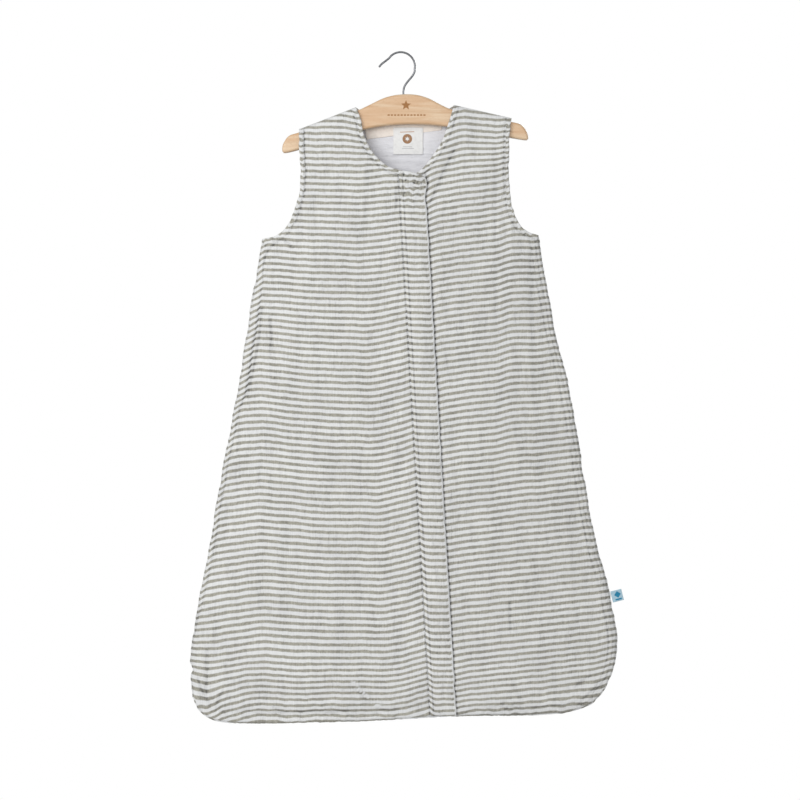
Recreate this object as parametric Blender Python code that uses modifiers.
"""Sleeveless baby sleeping bag on its wooden hanger: a shell of striped muslin over a plain lining,
closed at the front by a zipper under a snap-fastened placket flap. Metres, +Z up, front towards -Y.
The origin is the inside of the hook's crown, where a rail carries the whole thing."""

import math

import bmesh
import bpy
from mathutils import Matrix, Vector

MM = 0.001
GAP = 0.3                     # between pieces that touch, in millimetres like every size below

# Depths, measured from the middle plane of the bag
FRONT_DEPTH = 15.0            # flat middle of the front
BACK_DEPTH = 11.5             # flat middle of the back
STRAP_DEPTH = 9.4             # shoulder straps, either side of the hanger
SIDE_DEPTH = 2.2              # at the side seams and the bottom
FLAT_SHARE = 0.3              # share of the half width that stays flat in the middle
FLANK_POWER = 2.2
NECK_RISE = (-85.0, -138.0)   # heights between which the straps swell to the chest
UNDERARM_FALL = (-150.0, -226.0)
HEM_FALL = (-742.0, -802.0)

# Panels: shares of a panel's edge, from the shoulder down
RAIL_POINTS = 200
UNDERARM_SHARE = 0.20
NECK_SHARE = 0.15
PANEL_ROWS = 21
ROW_STATIONS = ((0.0, 0.0), (8 / 21, 0.20), (16 / 21, 0.90), (1.0, 1.0))

# Cloth
SHELL_T = 0.7
LINING_T = 0.6
LINING_SINK = 1.4             # lining behind the shell, centre to centre
EDGE_R = 1.3                  # turned hems round the neck and the arms
EDGE_INSET = 4.0
SEAM_R = 2.1                  # side and bottom seams
SEAM_INSET = 5.0
HEM_SINK = 0.7                # turned hems behind the shell's middle
SHOULDER_DROP = 7.5           # shell starts this far below the shoulder line, under the seam saddle
SIDE_SEAM_DROP = 3.2          # side seam starts this far below the underarm
BACK_HEM_DROP = 3.6           # back neck hem starts this far below the neck tip
SADDLE_T = 1.0
SADDLE_ENDS = (1.0, 1.5)      # saddle short of the armhole and of the neck
SADDLE_REACH = 0.4            # beyond the straps' middle surfaces
SADDLE_TOP = 0.6              # below the shoulder line
SADDLE_FALL = 6.1             # from its top to its two edges
SADDLE_POWER = 3.2
NECK_TIP_DROP = 3.0           # end of the back neckline below its tip

# Outline of the bag, (x, z) through which smooth curves run
SHOULDER_L = [(-121.4, -91.4), (-53.4, -65.0)]
SHOULDER_R = [(132.4, -78.0), (64.2, -62.4)]
ARMHOLE_L = [(-121.4, -91.4), (-120.4, -125), (-119.6, -155), (-126.7, -189), (-137.8, -210),
             (-151, -219.5), (-166, -223)]
ARMHOLE_R = [(132.4, -78.0), (130.4, -110), (129.6, -144), (131.6, -173), (137.5, -197),
             (149, -212), (165.4, -218.5)]
SIDE_L = [(-166, -223), (-179, -301), (-197, -413), (-216.6, -516), (-231, -600),
          (-246, -675), (-252, -735), (-249, -772)]
SIDE_R = [(165.4, -218.5), (181, -310), (204, -412), (222, -520), (236, -592),
          (251, -646), (259.5, -700), (257, -735), (249, -757)]
BOTTOM = [(-249, -772), (-240, -790), (-218, -802), (-170, -804.5), (-47, -801.6), (66.6, -796),
          (171.5, -794), (218, -786), (238, -773), (249, -757)]
NECK_L = [(-53.4, -65.0), (-47.5, -80), (-43.6, -99), (-33, -120), (-15, -136.5), (4.6, -142.2)]
NECK_R = [(64.2, -62.4), (58.3, -81.7), (50, -105), (37.7, -125), (24.5, -141), (14.2, -147.0)]
NECK_BACK = [(-53.4, -65.0), (-36, -74), (-12, -79.5), (5, -80.5), (24, -79), (46, -72.5), (64.2, -62.4)]

# Placket: a straight flap over the zipper, leaning a little to the right
FLAP_TOP = (29.4, -150.0)     # free corner of the flap
FLAP_LEAN = 37.6 / 643.0      # sideways run per unit of drop
FLAP_W = 32.0                 # stitched line to free edge
FLAP_RISE = 3.0               # arch of the flap over the zipper
FLAP_LIFT = 0.65              # facing above the shell at the flap's edges
FLAP_LAYERS = 1.15            # facing to outer layer, centre to centre
FLAP_TOP_SLOPE = 8.0          # neckline drop across the flap
FLAP_END = -736.0             # below this the placket is sewn shut
FLAP_START = 0.9              # start of the flap right of its hinge line
FLAP_TOP_CUT = 1.5            # flap's corner below its nominal height
FACING_T = 0.5
FLAP_HINGE_LIFT = 0.9         # hinge line above the shell's face
PLACKET_BOTTOM = -790.0
FOOT_GAP = 1.0                # between the flap and the stretch sewn shut
FOOT_OVERRUN = 2.0            # that stretch beyond the end of the panels' inner edges
FOOT_LIFT = 1.4               # above the shell's middle
ZIP_BACK = 21.0               # zipper line behind the free edge
ZIP_SINK = 1.6                # zipper behind the shell's middle
ZIP_SHELL = 6.0               # shell's edge from the zipper line
ZIP_LINING = 14.5

# Zipper
ZIP_TOP = -150.0
ZIP_BOTTOM = -714.0
SLIDER_AT = -200.0
SLIDER_L = 13.0
SLIDER_W = 9.0
SLIDER_H = 3.8
BRIDGE = 3.5                  # solid nose between the two plates
TEETH_W = 1.75
TEETH_H = 1.8
TAPE_IN, TAPE_OUT, TAPE_T = 2.2, 13.0, 0.5
TAPE_TAIL = 6.0               # tape beyond the last tooth
TOP_STOP_L, BOTTOM_STOP_L, BOTTOM_STOP_HALF = 3.0, 4.0, 1.9
CHANNEL_W, CHANNEL_H, SLOT_H = 4.4, 2.4, 1.1
BAIL_W, BAIL_L, BAIL_H, BAIL_HOLE_L, BAIL_HOLE_H = 2.0, 7.0, 2.1, 4.8, 1.5
ARM_GAP, ARM_W = 0.5, 1.0
PULL_W, PULL_L, PULL_T, PULL_START = 6.0, 18.0, 0.8, 4.8
PULL_STEP = 1.0               # slope between the pull's arms and its plate

# Snap
SNAP = (19.8, -159.4)
SNAP_R, STUD_BASE_T, STUD_R, STUD_H = 4.0, 0.8, 1.5, 1.0
SOCKET_T, SOCKET_BORE = 1.0, 2.0

# Hanger and hook
HANGER_T = 12.0
HANGER = [(-121.8, -95.6), (-50, -68.6), (-32.6, -60), (-20, -53.8), (-6, -50.2), (8.4, -49.2),
          (21, -50.3), (34, -54.2), (50, -63), (61.4, -68.3), (133.8, -82.8),
          (143.9, -85), (149.9, -91), (153.4, -99), (153.3, -103.5), (151.5, -105),
          (133, -102), (56.3, -88.3), (30, -85.9), (4.6, -85.4), (-20, -87.4), (-45, -92),
          (-121.8, -116.4), (-139.6, -120.6), (-142.2, -118), (-141.6, -109.8), (-134.6, -98.8)]
HANGER_EASE = 1.4
WIRE_R = 1.2
HOOK_C, HOOK_R = (0.2, -16.0), 17.2
HOOK_TIP = [(-25.4, -16.3), (-22.4, -12.9)]
HOOK_ARC = (146.0, -12.0)     # degrees, from the tip's side over the crown
HOOK_NECK = [(17.0, -22.0), (14.2, -27.5), (8.6, -34.2), (4.9, -39.8), (3.6, -45.5)]
STEM_X, STEM_END = 3.6, -79.5
STEM_BORE_R, POCKET_R, POCKET_TOP = 1.5, 4.0, -77.0
STEM_STEPS = (-49.0, -60.0)
WASHER_R, WASHER_T, WASHER_FIT = 3.2, 1.2, 0.12
BORE_TOP, BORE_BOTTOM = -40.0, -100.0
CUT_OVERRUN = 2.0             # cutters beyond the faces they open

# Labels
FACING = [(-44, -83), (52, -83)]
FACING_BOTTOM_L, FACING_BOTTOM_R = -103.0, -92.0
FACING_TAPER = 6.0
FACING_SINK, LABEL_SINK = 2.2, 2.95
LABEL = (-8.6, 27.2, -88.5, -121.0)
PATCH_T = 0.4
TAB = (259.9, -651.0)
TAB_SIZE = (13.5, 1.6, 13.5)
TAB_LEAN = -14.0

SHELL = (0.86, 0.87, 0.88)
LINING = (0.80, 0.81, 0.85)
BEECH = (0.80, 0.60, 0.40)
STEEL = (0.72, 0.72, 0.74)
WHITE = (0.90, 0.90, 0.90)
TAPE_PINK = (0.85, 0.78, 0.74)
TAB_BLUE = (0.55, 0.78, 0.86)
FABRIC_ROUGH = 0.9
METAL_ROUGH = 0.3


# ---------------------------------------------------------------- curves and depths

def smooth(points, count):
    """count points evenly spaced along a Catmull-Rom curve through the given ones."""
    ends = [points[0]] + list(points) + [points[-1]]
    fine = []
    for i in range(1, len(ends) - 2):
        p0, p1, p2, p3 = (Vector(p) for p in ends[i - 1:i + 3])
        for step in range(12):
            t = step / 12
            fine.append(0.5 * (2 * p1 + (p2 - p0) * t + (2 * p0 - 5 * p1 + 4 * p2 - p3) * t * t
                               + (3 * p1 - p0 - 3 * p2 + p3) * t ** 3))
    fine.append(Vector(points[-1]))
    return spaced(fine, count)


def spaced(points, count):
    """count points evenly spaced along a polyline."""
    points = [Vector(p) for p in points]
    run = [0.0]
    for a, b in zip(points, points[1:]):
        run.append(run[-1] + (b - a).length)
    out = []
    k = 0
    for i in range(count):
        s = run[-1] * i / (count - 1)
        while k < len(points) - 2 and run[k + 1] < s:
            k += 1
        share = (s - run[k]) / max(run[k + 1] - run[k], 1e-9)
        out.append(points[k].lerp(points[k + 1], min(share, 1.0)))
    return out


def shifted(points, distance):
    """A polyline moved sideways, to the left of its direction when distance is positive."""
    out = []
    for i, p in enumerate(points):
        a = points[max(i - 1, 0)]
        b = points[min(i + 1, len(points) - 1)]
        along = (b - a).normalized()
        out.append(p + distance * Vector((-along.y, along.x)))
    return out


def at_share(points, share):
    """The point at a share of a polyline's index run."""
    t = min(max(share, 0.0), 1.0) * (len(points) - 1)
    k = min(int(t), len(points) - 2)
    return points[k].lerp(points[k + 1], t - k)


def ease(value, start, end):
    """Rises smoothly from 0 at start to 1 at end."""
    t = min(max((value - start) / (end - start), 0.0), 1.0)
    return t * t * (3 - 2 * t)


def x_at(points, z):
    """Where a falling polyline crosses a height."""
    for a, b in zip(points, points[1:]):
        if a.y >= z >= b.y:
            return a.x + (b.x - a.x) * (a.y - z) / max(a.y - b.y, 1e-9)
    return points[0].x if z > points[0].y else points[-1].x


LEFT_SIDE = smooth(SIDE_L, 40)
RIGHT_SIDE = smooth(SIDE_R, 40)


def depth(x, z, middle):
    """Distance of a shell's middle surface from the bag's middle plane."""
    left, right = x_at(LEFT_SIDE, z), x_at(RIGHT_SIDE, z)
    off = abs(2 * (x - left) / (right - left) - 1)
    flank = max(0.0, (min(off, 1.0) - FLAT_SHARE) / (1 - FLAT_SHARE))
    swell = ease(z, *NECK_RISE) * (1 - ease(z, *HEM_FALL))
    base = STRAP_DEPTH + (SIDE_DEPTH - STRAP_DEPTH) * ease(z, *UNDERARM_FALL)
    return base + (middle - base) * (1 - flank ** FLANK_POWER) * swell


def flap_edge(z):
    return FLAP_TOP[0] + (FLAP_TOP[1] - z) * FLAP_LEAN


def zip_line(z):
    return flap_edge(z) - ZIP_BACK


# ---------------------------------------------------------------- making objects

def collection(name):
    made = bpy.data.collections.new(name)
    bpy.context.scene.collection.children.link(made)
    return made


def material(name, colour, roughness, metallic=0.0):
    m = bpy.data.materials.new(name)
    m.use_nodes = True
    shader = m.node_tree.nodes["Principled BSDF"]
    shader.inputs["Base Color"].default_value = (*colour, 1.0)
    shader.inputs["Roughness"].default_value = roughness
    shader.inputs["Metallic"].default_value = metallic
    return m


def add(name, mesh, colour, roughness, metallic=0.0):
    obj = bpy.data.objects.new(name, mesh)
    PARTS.objects.link(obj)
    mesh.materials.clear()
    mesh.materials.append(material(name, colour, roughness, metallic))
    return obj


def cloth(name, columns, rows, place, thickness, colour):
    """A grid shaped by place(u, v), u across and v downwards, given its thickness by Solidify."""
    bm = bmesh.new()
    bmesh.ops.create_grid(bm, x_segments=columns, y_segments=rows, size=0.5)
    for vert in bm.verts:
        vert.co = Vector(place(vert.co.x + 0.5, 0.5 - vert.co.y)) * MM
    bmesh.ops.recalc_face_normals(bm, faces=bm.faces)
    mesh = bpy.data.meshes.new(name)
    bm.to_mesh(mesh)
    bm.free()
    obj = add(name, mesh, colour, FABRIC_ROUGH)
    wall = obj.modifiers.new("cloth", "SOLIDIFY")
    wall.thickness = thickness * MM
    wall.offset = 0.0
    mesh.shade_smooth()
    return obj


def box(name, low, high, colour, roughness, metallic=0.0):
    bm = bmesh.new()
    bmesh.ops.create_cube(bm, size=1.0)
    low, high = Vector(low), Vector(high)
    for vert in bm.verts:
        vert.co = Vector([(low[i] + high[i]) / 2 + vert.co[i] * (high[i] - low[i]) for i in range(3)]) * MM
    mesh = bpy.data.meshes.new(name)
    bm.to_mesh(mesh)
    bm.free()
    return add(name, mesh, colour, roughness, metallic)


def wire(name, points, radius, colour, roughness, metallic=0.0):
    """A round rod along points, as a poly spline with filled caps."""
    curve = bpy.data.curves.new(name, "CURVE")
    curve.dimensions = "3D"
    curve.bevel_depth = radius * MM
    curve.bevel_resolution = 2
    curve.use_fill_caps = True
    spline = curve.splines.new("POLY")
    spline.points.add(len(points) - 1)
    for target, p in zip(spline.points, points):
        target.co = (*(Vector(p) * MM), 1.0)
    curve.materials.append(material(name, colour, roughness, metallic))
    obj = bpy.data.objects.new(name, curve)
    PARTS.objects.link(obj)
    return obj


def flat_piece(name, outlines, thickness, colour, roughness, metallic=0.0):
    """A flat outline standing in the XZ plane, with any further outlines as holes in it."""
    curve = bpy.data.curves.new(name, "CURVE")
    curve.dimensions = "2D"
    curve.fill_mode = "BOTH"
    curve.extrude = thickness / 2 * MM
    for outline in outlines:
        spline = curve.splines.new("POLY")
        spline.points.add(len(outline) - 1)
        for target, p in zip(spline.points, outline):
            target.co = (p[0] * MM, p[1] * MM, 0.0, 1.0)
        spline.use_cyclic_u = True
    curve.materials.append(material(name, colour, roughness, metallic))
    obj = bpy.data.objects.new(name, curve)
    obj.rotation_euler = (math.radians(90), 0, 0)
    PARTS.objects.link(obj)
    return obj


def hang(obj, name, place):
    """Parents a piece to an empty on its joint's axis, made once for each joint."""
    empty = bpy.data.objects.get(name)
    if empty is None:
        empty = bpy.data.objects.new(name, None)
        empty.location = Vector(place) * MM
        PARTS.objects.link(empty)
    obj.parent = empty
    obj.matrix_parent_inverse = Matrix.Translation(-empty.location)


def combine(obj, tool, operation):
    """Joins or cuts with a tool object, which moves out of the parts and into the cutters."""
    PARTS.objects.unlink(tool)
    CUTTERS.objects.link(tool)
    tool.hide_render = True
    tool.display_type = "WIRE"
    step = obj.modifiers.new(operation.lower(), "BOOLEAN")
    step.operation = operation
    step.object = tool


def drum(name, radius, low, high, place, colour, roughness, metallic=0.0, facing=False, segments=24):
    """An upright cylinder through place (x, y), or one that faces the front through (x, z)."""
    bm = bmesh.new()
    bmesh.ops.create_cone(bm, cap_ends=True, segments=segments, radius1=radius * MM, radius2=radius * MM,
                          depth=(high - low) * MM)
    mesh = bpy.data.meshes.new(name)
    bm.to_mesh(mesh)
    bm.free()
    obj = add(name, mesh, colour, roughness, metallic)
    mesh.shade_smooth()
    mesh.set_sharp_from_angle(angle=math.radians(40))
    middle = (low + high) / 2
    if facing:
        obj.rotation_euler = (math.radians(90), 0, 0)
        obj.location = Vector((place[0], middle, place[1])) * MM
    else:
        obj.location = Vector((place[0], place[1], middle)) * MM
    return obj


# ---------------------------------------------------------------- bag

def patch(top, bottom, left, right):
    """A Coons patch: fills four boundary polylines, each given along u or downwards along v."""
    def place(u, v):
        v = row_share(v)
        t, b = at_share(top, u), at_share(bottom, u)
        l, r = at_share(left, v), at_share(right, v)
        corners = ((1 - u) * (1 - v) * top[0] + u * (1 - v) * top[-1]
                   + (1 - u) * v * bottom[0] + u * v * bottom[-1])
        return (1 - v) * t + v * b + (1 - u) * l + u * r - corners
    return place


def lowered(points, drop):
    return [Vector((p[0], p[1] - drop)) for p in points]


def row_share(v):
    """Rows stand closer together along the armholes and neck, and again above the bottom seam."""
    for (v0, s0), (v1, s1) in zip(ROW_STATIONS, ROW_STATIONS[1:]):
        if v <= v1 + 1e-9:
            return s0 + (s1 - s0) * (v - v0) / (v1 - v0)
    return 1.0


def below(points, height):
    return [p for p in points if p.y < height]


def side_rail(armhole, side, turn):
    """Inset edge of a panel from the shoulder to the bottom corner; turn is the inward side."""
    arm = shifted(smooth(armhole, 60), turn * EDGE_INSET)
    seam = shifted(smooth(side, 80), turn * SEAM_INSET)
    corner = Vector((seam[0].x, arm[-1].y))
    arm = below(arm, arm[0].y - SHOULDER_DROP)
    arm = [p for p in arm if turn * (p.x - corner.x) > 1.0] + [corner]
    seam = [corner] + below(seam, corner.y - 1.0)
    top = round(RAIL_POINTS * UNDERARM_SHARE)
    return spaced(arm, top + 1) + spaced(seam, RAIL_POINTS - top + 1)[1:]


def neck_rail(neck, turn, centre_offset):
    """Inset edge of a front panel from the neck tip down the neckline and along the zipper."""
    edge = shifted(smooth(neck, 60), turn * EDGE_INSET)
    edge = below(edge, edge[0].y - SHOULDER_DROP)
    edge = [p for p in edge if turn * (p.x - zip_line(p.y) - centre_offset) > 0.5]
    corner = Vector((zip_line(edge[-1].y) + centre_offset, edge[-1].y - 0.2))
    foot = Vector((zip_line(PLACKET_BOTTOM) + centre_offset, PLACKET_BOTTOM))
    top = round(RAIL_POINTS * NECK_SHARE)
    return spaced(edge + [corner], top + 1) + spaced([corner, foot], RAIL_POINTS - top + 1)[1:]


def front_panel(name, armhole, side, neck, turn, sink, thickness, colour, centre_offset, columns):
    """One half of the front. turn is +1 where the side lies to the left, -1 to the right."""
    outer = side_rail(armhole, side, turn)
    inner = neck_rail(neck, -turn, centre_offset)
    seam = shifted(smooth(BOTTOM, 60), SEAM_INSET)
    middle_x = inner[-1].x
    if turn > 0:
        run = [p for p in seam if outer[-1].x + 1 < p.x < middle_x - 1]
    else:
        run = [p for p in reversed(seam) if middle_x + 1 < p.x < outer[-1].x - 1]
    bottom = spaced([outer[-1]] + run + [inner[-1]], 40)
    top = [outer[0], inner[0]]
    surface = patch(top, bottom, outer, inner)

    def place(u, v):
        p = surface(u, v)
        return p.x, -(depth(p.x, p.y, FRONT_DEPTH) - sink), p.y
    return cloth(name, columns, PANEL_ROWS, place, thickness, colour)


def back_panel(name, sink, thickness, colour, columns):
    """The whole back, from the shoulders and the back neckline to the bottom seam."""
    left = side_rail(ARMHOLE_L, SIDE_L, 1)
    right = side_rail(ARMHOLE_R, SIDE_R, -1)
    seam = shifted(smooth(BOTTOM, 60), SEAM_INSET)
    run = [p for p in seam if left[-1].x + 1 < p.x < right[-1].x - 1]
    bottom = spaced([left[-1]] + run + [right[-1]], 60)
    neck = shifted(smooth(NECK_BACK, 20), -EDGE_INSET)[2:-2]
    tips = lowered([neck[0], neck[-1]], NECK_TIP_DROP)
    top = spaced([left[0], tips[0]] + neck[1:-1] + [tips[1], right[0]], 60)
    surface = patch(top, bottom, left, right)

    def place(u, v):
        p = surface(u, v)
        return p.x, depth(p.x, p.y, BACK_DEPTH) - sink, p.y
    return cloth(name, columns, PANEL_ROWS, place, thickness, colour)


def hem(name, points, middle, side_sign):
    """A round turned edge that follows points at the shell's depth; side_sign -1 is the front."""
    path = [(p.x, side_sign * (depth(p.x, p.y, middle) - HEM_SINK), p.y) for p in points]
    wire(name, path, EDGE_R, SHELL, FABRIC_ROUGH)


def edges_of(armhole, neck, turn, label):
    """Turned hems of one side: front and back armhole, and front neckline."""
    arm = shifted(smooth(armhole, 22), turn * EDGE_R)
    arm = below(arm, arm[0].y - SHOULDER_DROP)[:-1]
    hem("armhole_hem_front_" + label, arm, FRONT_DEPTH, -1)
    hem("armhole_hem_back_" + label, arm, BACK_DEPTH, 1)
    edge = shifted(smooth(neck, 18), -turn * EDGE_R)
    edge = below(edge, edge[0].y - SHOULDER_DROP)
    hem("neck_hem_" + label, edge[:-1], FRONT_DEPTH, -1)


def saddle(name, shoulder):
    """Seam over the hanger, joining the front strap to the back strap."""
    arm, neck = Vector(shoulder[0]), Vector(shoulder[1])
    along = (neck - arm).normalized()
    start, end = arm + along * SADDLE_ENDS[0], neck - along * SADDLE_ENDS[1]
    reach = STRAP_DEPTH + SADDLE_REACH

    def place(u, v):
        p = start.lerp(end, u)
        y = (2 * v - 1) * reach
        fall = SADDLE_FALL * abs(2 * v - 1) ** SADDLE_POWER
        return p.x, y, p.y - SADDLE_TOP - fall
    return cloth(name, 3, 10, place, SADDLE_T, SHELL)


def seams():
    """Side and bottom seams that close the bag."""
    for label, side, turn in (("left", SIDE_L, 1), ("right", SIDE_R, -1)):
        path = shifted(smooth(side, 40), turn * (SEAM_R + GAP))[:-1]
        path = below(path, path[0].y - SIDE_SEAM_DROP)[::2]
        wire("side_seam_" + label, [(p.x, 0, p.y) for p in path], SEAM_R, SHELL, FABRIC_ROUGH)
    path = shifted(smooth(BOTTOM, 36), SEAM_R + GAP)[1:-1]
    wire("bottom_seam", [(p.x, 0, p.y) for p in path], SEAM_R, SHELL, FABRIC_ROUGH)
    neck = below(shifted(smooth(NECK_BACK, 24), -EDGE_R), NECK_BACK[0][1] - BACK_HEM_DROP)
    hem("neck_hem_back", neck, BACK_DEPTH, 1)


def placket_box(name, left, right, top, bottom, front, back, colour, roughness, metallic=0.0):
    """A bar along the zipper line; left and right from the line, depths from the shell's middle."""
    obj = box(name, (left, -(FRONT_DEPTH + front), bottom), (right, -(FRONT_DEPTH + back), top),
              colour, roughness, metallic)
    for vert in obj.data.vertices:
        vert.co.x += zip_line(vert.co.z / MM) * MM
    return obj


def arch(share):
    """Rise of the placket over the zipper, at a share of its width."""
    return FLAP_RISE * math.sin(math.pi * min(max(share, 0.0), 1.0)) ** 0.5


def flap_layer(name, lift, thickness):
    """One layer of the flap, from the hinge line to the free edge, arched over the zipper."""
    start = FLAP_START / FLAP_W

    def place(u, v):
        share = start + u * (1 - start)
        top = FLAP_TOP[1] + FLAP_TOP_SLOPE * (1 - u) ** 1.5 - FLAP_TOP_CUT
        z = top + (FLAP_END - top) * v
        x = flap_edge(z) - FLAP_W * (1 - share)
        return x, -(FRONT_DEPTH + SHELL_T / 2 + lift + arch(share)), z
    return cloth(name, 10, 3, place, thickness, SHELL)


def placket():
    """Flap over the zipper, the stretch sewn shut below it, and the snap that holds its top."""
    facing = flap_layer("flap_facing", FLAP_LIFT, FACING_T)
    outer = flap_layer("flap_outer", FLAP_LIFT + FLAP_LAYERS, SHELL_T)

    def place(u, v):
        z = FLAP_END - FOOT_GAP + (PLACKET_BOTTOM - FOOT_OVERRUN - FLAP_END) * v
        x = flap_edge(z) - FLAP_W * (1 - u)
        return x, -(depth(x, z, FRONT_DEPTH) + FOOT_LIFT + arch(u) * (1 - v)), z
    cloth("placket_foot", 8, 6, place, SHELL_T, SHELL)

    shell_face = -(FRONT_DEPTH + SHELL_T / 2)
    stud_back = shell_face - GAP
    stud_front = stud_back - STUD_BASE_T
    socket_back = stud_front - GAP
    socket_front = socket_back - SOCKET_T
    stud = drum("snap_stud", SNAP_R, stud_front, stud_back, SNAP, STEEL, METAL_ROUGH, 1.0, facing=True)
    post = drum("stud_post", STUD_R, stud_front - STUD_H, (stud_front + stud_back) / 2, SNAP, STEEL,
                METAL_ROUGH, 1.0, facing=True, segments=16)
    combine(stud, post, "UNION")
    socket = drum("snap_socket", SNAP_R, socket_front, socket_back, SNAP, STEEL, METAL_ROUGH, 1.0,
                  facing=True)
    bore = drum("socket_bore", SOCKET_BORE, socket_front - CUT_OVERRUN, socket_back + CUT_OVERRUN, SNAP,
                STEEL, METAL_ROUGH, facing=True, segments=16)
    combine(socket, bore, "DIFFERENCE")
    hinge = (flap_edge(FLAP_TOP[1]) - FLAP_W, shell_face - FLAP_HINGE_LIFT, FLAP_TOP[1])
    for piece in (facing, outer, socket):
        hang(piece, "flap_hinge", hinge)


def zipper_rows():
    """Tapes, teeth and stops, sewn to the bag."""
    tape_front, tape_back = -ZIP_SINK + TAPE_T / 2, -ZIP_SINK - TAPE_T / 2
    front, back = -ZIP_SINK + TEETH_H / 2, -ZIP_SINK - TEETH_H / 2
    slider_top = SLIDER_AT + SLIDER_L / 2
    for label, sign in (("left", -1), ("right", 1)):
        edges = sorted((sign * TAPE_IN, sign * TAPE_OUT))
        placket_box("zipper_tape_" + label, *edges, ZIP_TOP, ZIP_BOTTOM - TAPE_TAIL, tape_front, tape_back,
                    WHITE, FABRIC_ROUGH)
        edges = sorted((sign * GAP / 2, sign * (GAP / 2 + TEETH_W)))
        placket_box("zipper_teeth_" + label, *edges, slider_top - BRIDGE - GAP, ZIP_BOTTOM, front, back,
                    WHITE, FABRIC_ROUGH)
        placket_box("zipper_top_stop_" + label, *edges, slider_top + GAP + TOP_STOP_L, slider_top + GAP,
                    front, back, STEEL, METAL_ROUGH, 1.0)
    placket_box("zipper_bottom_stop", -BOTTOM_STOP_HALF, BOTTOM_STOP_HALF, ZIP_BOTTOM - GAP,
                ZIP_BOTTOM - GAP - BOTTOM_STOP_L, front, back, STEEL, METAL_ROUGH, 1.0)


def zipper_slider():
    """The slider, open for the teeth and the tapes, and the pull that swings from its bail."""
    low, high = SLIDER_AT - SLIDER_L / 2, SLIDER_AT + SLIDER_L / 2
    front, back = -ZIP_SINK + SLIDER_H / 2, -ZIP_SINK - SLIDER_H / 2
    slider = placket_box("zipper_slider", -SLIDER_W / 2, SLIDER_W / 2, high, low, front, back, STEEL,
                         METAL_ROUGH, 1.0)
    channel = placket_box("slider_channel", -CHANNEL_W / 2, CHANNEL_W / 2, high - BRIDGE, low - CUT_OVERRUN,
                          -ZIP_SINK + CHANNEL_H / 2, -ZIP_SINK - CHANNEL_H / 2, STEEL, METAL_ROUGH)
    combine(slider, channel, "DIFFERENCE")
    for label, sign in (("left", -1), ("right", 1)):
        edges = sorted((sign * (TAPE_IN - GAP), sign * SLIDER_W))
        slot = placket_box("slider_slot_" + label, *edges, high + CUT_OVERRUN, low - CUT_OVERRUN,
                           -ZIP_SINK + SLOT_H / 2, -ZIP_SINK - SLOT_H / 2, STEEL, METAL_ROUGH)
        combine(slider, slot, "DIFFERENCE")
    bail = placket_box("slider_bail", -BAIL_W / 2, BAIL_W / 2, SLIDER_AT + BAIL_L / 2,
                       SLIDER_AT - BAIL_L / 2, front + BAIL_H, front - GAP, STEEL, METAL_ROUGH)
    hole = placket_box("bail_hole", -SLIDER_W, SLIDER_W, SLIDER_AT + BAIL_HOLE_L / 2,
                       SLIDER_AT - BAIL_HOLE_L / 2, front + BAIL_HOLE_H, front, STEEL, METAL_ROUGH)
    combine(slider, bail, "UNION")
    combine(slider, hole, "DIFFERENCE")

    pivot = (zip_line(SLIDER_AT), -(FRONT_DEPTH + front + BAIL_HOLE_H / 2), SLIDER_AT)
    half, arm, bar = PULL_W / 2, BAIL_W / 2 + ARM_GAP, PULL_T / 2
    end = PULL_START + PULL_L
    round_end = [(half * math.cos(math.radians(a)), -end + half + half * math.sin(math.radians(a)))
                 for a in range(0, -181, -30)]
    outline = [(arm + ARM_W, bar), (arm + ARM_W, PULL_STEP - PULL_START), (half, -PULL_START - PULL_STEP)]
    outline += round_end + [(-x, z) for x, z in reversed(outline)]
    window = [(arm, -bar), (arm, -PULL_START), (-arm, -PULL_START), (-arm, -bar)]
    pull = flat_piece("zipper_pull", [outline, window], PULL_T, STEEL, METAL_ROUGH, 1.0)
    pull.location = Vector(pivot) * MM
    hang(slider, "slider_origin", pivot)


# ---------------------------------------------------------------- hanger and hook

def mesh_of(obj):
    """The object's evaluated shape as a plain mesh object in its place."""
    bpy.context.view_layer.update()
    mesh = bpy.data.meshes.new_from_object(obj.evaluated_get(bpy.context.evaluated_depsgraph_get()))
    bm = bmesh.new()
    bm.from_mesh(mesh)
    bmesh.ops.remove_doubles(bm, verts=bm.verts, dist=1e-6)
    bmesh.ops.dissolve_limit(bm, angle_limit=math.radians(0.5), verts=bm.verts, edges=bm.edges)
    bm.to_mesh(mesh)
    bm.free()
    name = obj.name
    place = obj.matrix_world.copy()
    bpy.data.objects.remove(obj)
    made = bpy.data.objects.new(name, mesh)
    made.matrix_world = place
    PARTS.objects.link(made)
    return made


def hanger():
    """Flat beech hanger with eased edges, bored for the hook's stem."""
    outline = flat_piece("hanger_body", [HANGER], HANGER_T, BEECH, 0.5)
    body = mesh_of(outline)
    ease_edges = body.modifiers.new("eased_edges", "BEVEL")
    ease_edges.width = HANGER_EASE * MM
    ease_edges.segments = 2
    ease_edges.limit_method = "ANGLE"
    ease_edges.angle_limit = math.radians(60)
    bore = drum("stem_bore", STEM_BORE_R, BORE_BOTTOM, BORE_TOP, (STEM_X, 0), BEECH, 0.5, segments=16)
    pocket = drum("stem_pocket", POCKET_R, BORE_BOTTOM, POCKET_TOP, (STEM_X, 0), BEECH, 0.5)
    combine(body, bore, "DIFFERENCE")
    combine(body, pocket, "DIFFERENCE")


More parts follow.
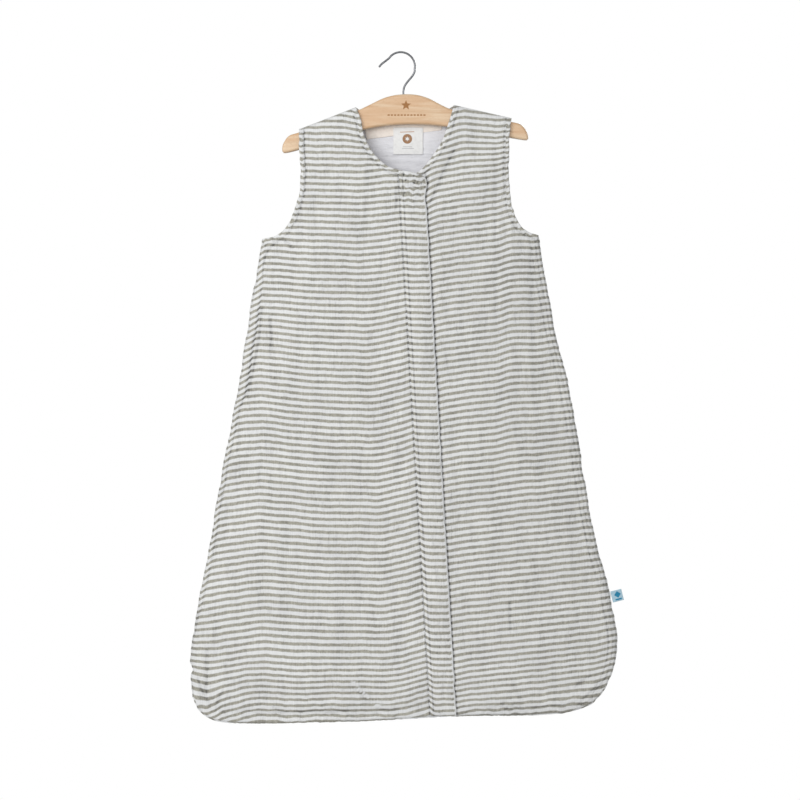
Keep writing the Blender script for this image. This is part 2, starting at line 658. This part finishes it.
def hook():
    """Bent wire: turned-out tip, round crown, S-bend and stem, with a washer under the wood."""
    start, end = (math.radians(a) for a in HOOK_ARC)
    arc = [(HOOK_C[0] + HOOK_R * math.cos(start + (end - start) * i / 9),
            HOOK_C[1] + HOOK_R * math.sin(start + (end - start) * i / 9)) for i in range(10)]
    bend = smooth(HOOK_TIP + arc + HOOK_NECK, 40)
    stem = [Vector((STEM_X, z)) for z in (*STEM_STEPS, STEM_END)]
    points = [(p.x, 0, p.y) for p in bend + stem]
    rod = wire("hook", points, WIRE_R, STEEL, 0.2, 1.0)
    high = POCKET_TOP - GAP
    low = high - WASHER_T
    washer = drum("hook_washer", WASHER_R, low, high, (STEM_X, 0), STEEL, METAL_ROUGH, 1.0)
    bore = drum("washer_bore", WIRE_R + WASHER_FIT, low - CUT_OVERRUN, high + CUT_OVERRUN, (STEM_X, 0),
                STEEL, METAL_ROUGH, segments=16)
    combine(washer, bore, "DIFFERENCE")
    for piece in (rod, washer):
        hang(piece, "hook_axis", (STEM_X, 0, STEM_END))


# ---------------------------------------------------------------- labels

def labels():
    """Facing tape and sewn label inside the back neck, and the folded tab in the side seam."""
    def facing(u, v):
        top = Vector(FACING[0]).lerp(Vector(FACING[1]), u)
        z = top.y + (FACING_BOTTOM_L + (FACING_BOTTOM_R - FACING_BOTTOM_L) * u - top.y) * v
        inset = FACING_TAPER * v * (0.5 - u)
        return top.x + inset, depth(top.x, z, BACK_DEPTH) - FACING_SINK, z
    cloth("neck_facing", 8, 2, facing, PATCH_T, TAPE_PINK)

    def label(u, v):
        x = LABEL[0] + (LABEL[1] - LABEL[0]) * u
        z = LABEL[2] + (LABEL[3] - LABEL[2]) * v
        return x, depth(x, z, BACK_DEPTH) - LABEL_SINK, z
    cloth("neck_label", 3, 6, label, PATCH_T, WHITE)

    width, thick, height = TAB_SIZE
    tab = box("side_tab", (-width / 2, -thick / 2, -height / 2), (width / 2, thick / 2, height / 2),
              TAB_BLUE, FABRIC_ROUGH)
    tab.location = Vector((TAB[0], 0, TAB[1])) * MM
    tab.rotation_euler = (0, math.radians(TAB_LEAN), 0)


for old in list(bpy.data.objects):
    bpy.data.objects.remove(old)
PARTS = collection("baby_sleeping_bag")
CUTTERS = collection("cutters")

for spec in (("left", ARMHOLE_L, SIDE_L, SHOULDER_L, NECK_L, 1, -1),
             ("right", ARMHOLE_R, SIDE_R, SHOULDER_R, NECK_R, -1, 1)):
    word, arm_line, side_line, shoulder_line, neck_line, inward, zip_side = spec
    front_panel("front_%s_outer" % word, arm_line, side_line, neck_line, inward, 0.0, SHELL_T,
                SHELL, zip_side * ZIP_SHELL, 8)
    front_panel("front_%s_lining" % word, arm_line, side_line, neck_line, inward, LINING_SINK,
                LINING_T, LINING, zip_side * ZIP_LINING, 7)
    edges_of(arm_line, neck_line, inward, word)
    saddle("shoulder_seam_" + word, shoulder_line)
back_panel("back_outer", 0.0, SHELL_T, SHELL, 14)
back_panel("back_lining", LINING_SINK, LINING_T, LINING, 12)
seams()
placket()
zipper_rows()
zipper_slider()
hanger()
hook()
labels()
